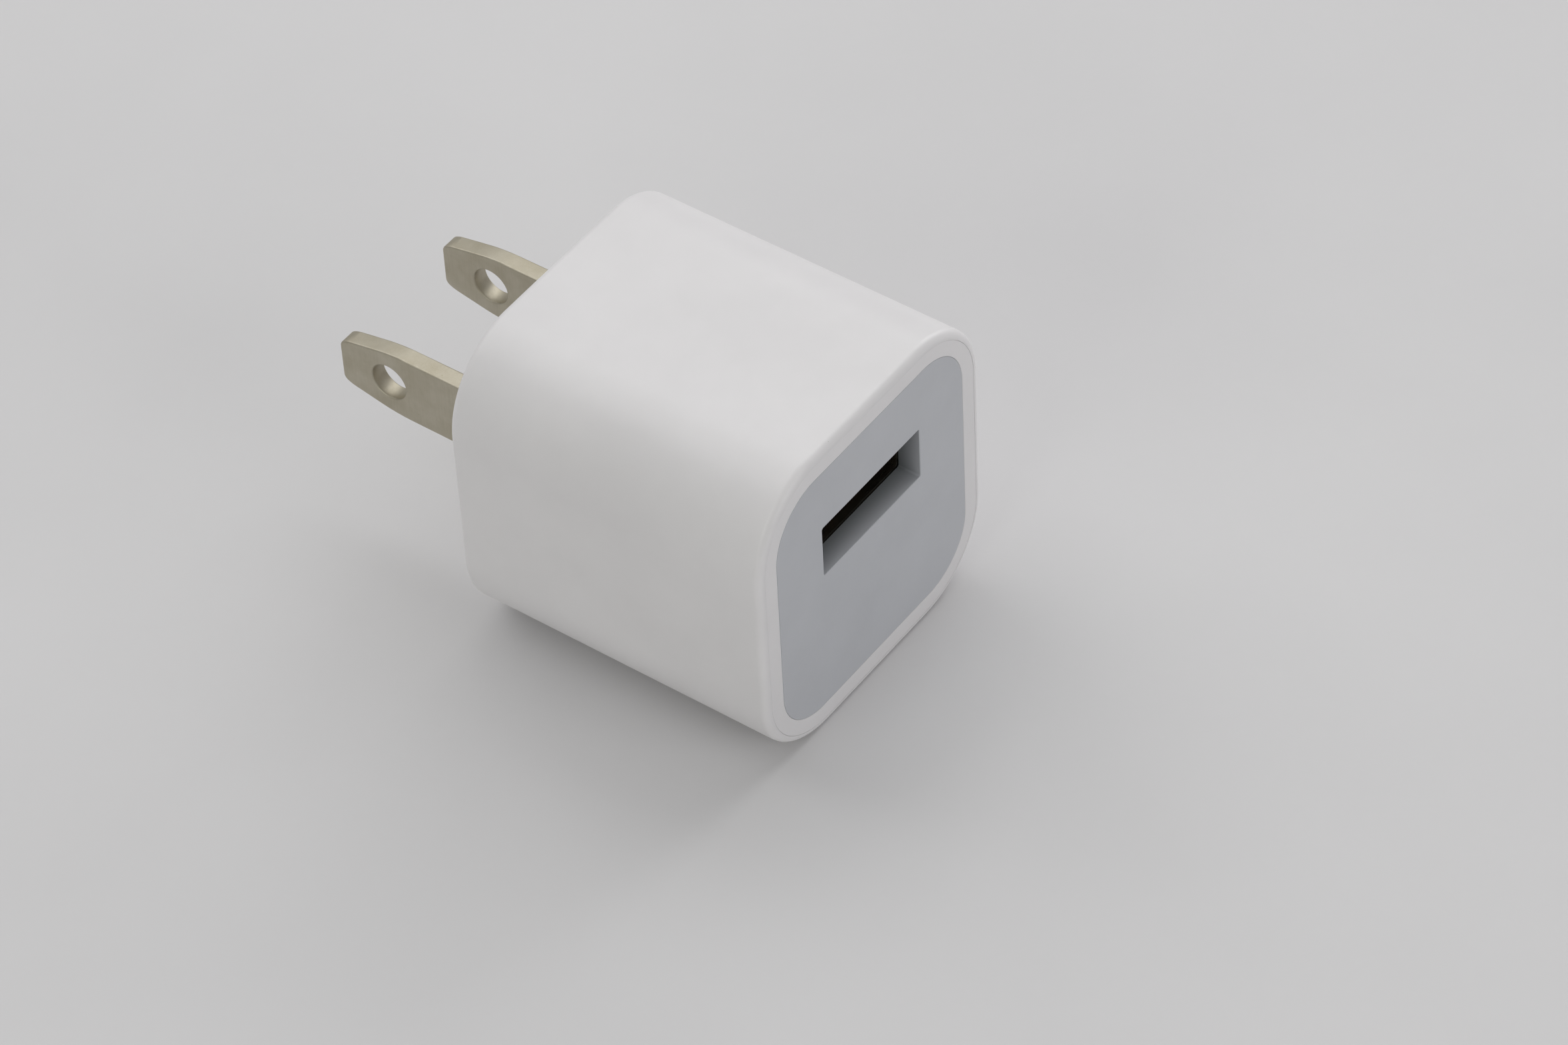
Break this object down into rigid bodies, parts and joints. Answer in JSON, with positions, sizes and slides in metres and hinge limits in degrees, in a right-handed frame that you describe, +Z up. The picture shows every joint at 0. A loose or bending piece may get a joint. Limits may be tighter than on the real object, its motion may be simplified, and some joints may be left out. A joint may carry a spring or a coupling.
{
  "type": "usb wall charger",
  "caption": "Small cube-shaped mains charger with a grey face, a port in it and fixed flat blades behind.",
  "frame": {"origin": "centre of the rear face, where the charger meets the wall plate", "axes": "+Y out of the rear face along the blades, +Z up, the port faces -Y"},
  "size_m": [0.028, 0.0447, 0.028],
  "materials": {
    "white_plastic": "satin moulded polycarbonate",
    "grey_plastic": "fine matt moulded polycarbonate",
    "nickel_plate": "satin nickel plate on brass",
    "carrier_plastic": "natural nylon",
    "spring_brass": "bright strip",
    "port_steel": "tinned steel sheet",
    "black_plastic": "moulded",
    "gold_contact": "gold-flashed bronze",
    "board_laminate": "solder mask on glass-fibre laminate",
    "ferrite": "sintered ferrite",
    "copper_wire": "enamelled copper",
    "yellow_tape": "polyester tape",
    "tinned_wire": "tinned copper",
    "can_aluminium": "drawn can",
    "black_sleeve": "shrink sleeve",
    "green_sleeve": "shrink sleeve",
    "rubber_bung": "moulded",
    "blue_epoxy": "dipped epoxy",
    "green_coating": "lacquer coat",
    "chip_black": "moulded epoxy",
    "chip_tan": "fired ceramic",
    "fish_paper": "calendered fibre sheet"
  },
  "bodies": {
    "charger": {"body_shell": "white_plastic", "front_cap": "white_plastic", "face_plate": "grey_plastic", "blade_left": "nickel_plate", "blade_right": "nickel_plate", "blade_retainer": "carrier_plastic", "blade_clip_left": "spring_brass", "blade_clip_right": "spring_brass", "usb_shell": "port_steel", "usb_insulator": "black_plastic", "contact_tail_1": "gold_contact", "contact_tail_2": "gold_contact", "contact_tail_3": "gold_contact", "contact_tail_4": "gold_contact", "main_board": "board_laminate", "transformer_core_front": "ferrite", "transformer_core_rear": "ferrite", "transformer_bobbin": "black_plastic", "transformer_primary": "copper_wire", "transformer_secondary": "copper_wire", "transformer_tape": "yellow_tape", "transformer_pins": "tinned_wire", "input_capacitor_can": "can_aluminium", "input_capacitor_sleeve": "black_sleeve", "input_capacitor_bung": "rubber_bung", "input_capacitor_leads": "tinned_wire", "filter_capacitor_can": "can_aluminium", "filter_capacitor_sleeve": "black_sleeve", "filter_capacitor_bung": "rubber_bung", "filter_capacitor_leads": "tinned_wire", "output_capacitor_can": "can_aluminium", "output_capacitor_sleeve": "green_sleeve", "output_capacitor_bung": "rubber_bung", "output_capacitor_leads": "tinned_wire", "filter_coil_core": "ferrite", "filter_coil_winding": "copper_wire", "safety_capacitor": "blue_epoxy", "safety_capacitor_leads": "tinned_wire", "fuse_resistor": "green_coating", "fuse_resistor_leads": "tinned_wire", "bridge_rectifier": "chip_black", "bridge_rectifier_leads": "tinned_wire", "control_chip": "chip_black", "control_chip_leads": "tinned_wire", "output_diode": "chip_black", "output_diode_terminals": "tinned_wire", "chip_resistors": "chip_black", "chip_capacitors": "chip_tan", "insulation_sheet": "fish_paper"},
    "contact_1": {"contact_spring_1": "gold_contact"},
    "contact_2": {"contact_spring_2": "gold_contact"},
    "contact_3": {"contact_spring_3": "gold_contact"},
    "contact_4": {"contact_spring_4": "gold_contact"}
  },
  "joints": [
    {"name": "contact_1_flex", "type": "hinge", "parent": "charger", "child": "contact_1", "pos_m": [-0.0035, -0.01635, 0.00428], "axis": [-1, 0, 0], "range_deg": [0, 3], "stiffness_Nm_per_rad": 0.1},
    {"name": "contact_2_flex", "type": "hinge", "parent": "charger", "child": "contact_2", "pos_m": [-0.001, -0.01635, 0.00428], "axis": [-1, 0, 0], "range_deg": [0, 3], "stiffness_Nm_per_rad": 0.1},
    {"name": "contact_3_flex", "type": "hinge", "parent": "charger", "child": "contact_3", "pos_m": [0.001, -0.01635, 0.00428], "axis": [-1, 0, 0], "range_deg": [0, 3], "stiffness_Nm_per_rad": 0.1},
    {"name": "contact_4_flex", "type": "hinge", "parent": "charger", "child": "contact_4", "pos_m": [0.0035, -0.01635, 0.00428], "axis": [-1, 0, 0], "range_deg": [0, 3], "stiffness_Nm_per_rad": 0.1}
  ]
}
